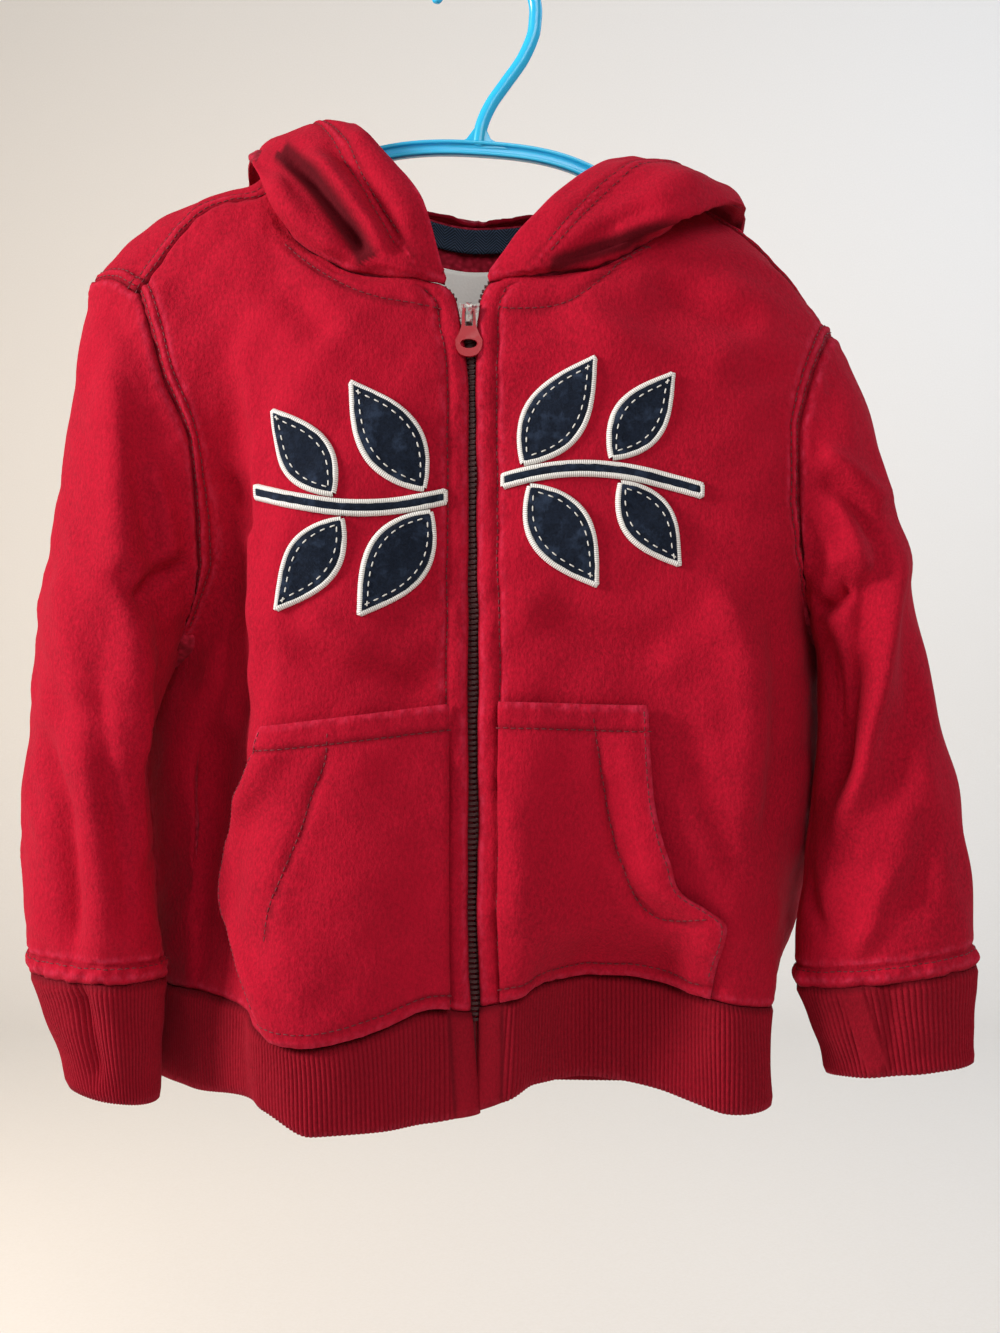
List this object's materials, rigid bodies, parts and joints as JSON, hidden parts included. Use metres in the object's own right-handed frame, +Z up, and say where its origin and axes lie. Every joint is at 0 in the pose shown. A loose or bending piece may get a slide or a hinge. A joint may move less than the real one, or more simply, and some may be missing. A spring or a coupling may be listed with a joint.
{
  "type": "child's zip-up hoodie on a hanger",
  "caption": "Child's long-sleeved zip-up fleece hoodie with hood, split front pocket and ribbed hem and cuffs, hanging on a plain plastic hanger.",
  "frame": {"origin": "inside of the top of the hanger hook, where the hook rests on a rail", "axes": "+Z up, +X towards the wearer's left side (right side of the picture), -Y out of the front of the hoodie"},
  "size_m": [0.4481, 0.1693, 0.5371],
  "materials": {
    "fleece": "brushed jersey",
    "ribbing": "one by one rib knit",
    "felt": "felt",
    "zip_tape": "woven strip",
    "twill_tape": "herringbone twill",
    "label_satin": "woven satin",
    "zip_enamel": "gloss enamel",
    "hanger_plastic": "moulded gloss"
  },
  "bodies": {
    "garment": {"hanger": "hanger_plastic", "front_right": "fleece", "front_left": "fleece", "back": "fleece", "sleeve_right": "fleece", "sleeve_left": "fleece", "hood_right": "fleece", "hood_left": "fleece", "hem_rib": "ribbing", "cuff_right": "ribbing", "cuff_left": "ribbing", "pocket_right": "fleece", "pocket_left": "fleece", "zip_tape_right": "zip_tape", "zip_tape_left": "zip_tape", "zip_slider": "zip_enamel", "neck_tape": "twill_tape", "label": "label_satin", "applique_leaf_1": "felt", "applique_leaf_2": "felt", "applique_leaf_3": "felt", "applique_leaf_4": "felt", "applique_leaf_5": "felt", "applique_leaf_6": "felt", "applique_leaf_7": "felt", "applique_leaf_8": "felt", "applique_stem_right": "felt", "applique_stem_left": "felt"},
    "pull": {"zip_pull": "zip_enamel"}
  },
  "joints": [
    {"name": "pull_swing", "type": "hinge", "parent": "garment", "child": "pull", "pos_m": [-0.007, -0.0395, -0.1697], "axis": [-1, 0, 0], "range_deg": [0, 150]}
  ]
}
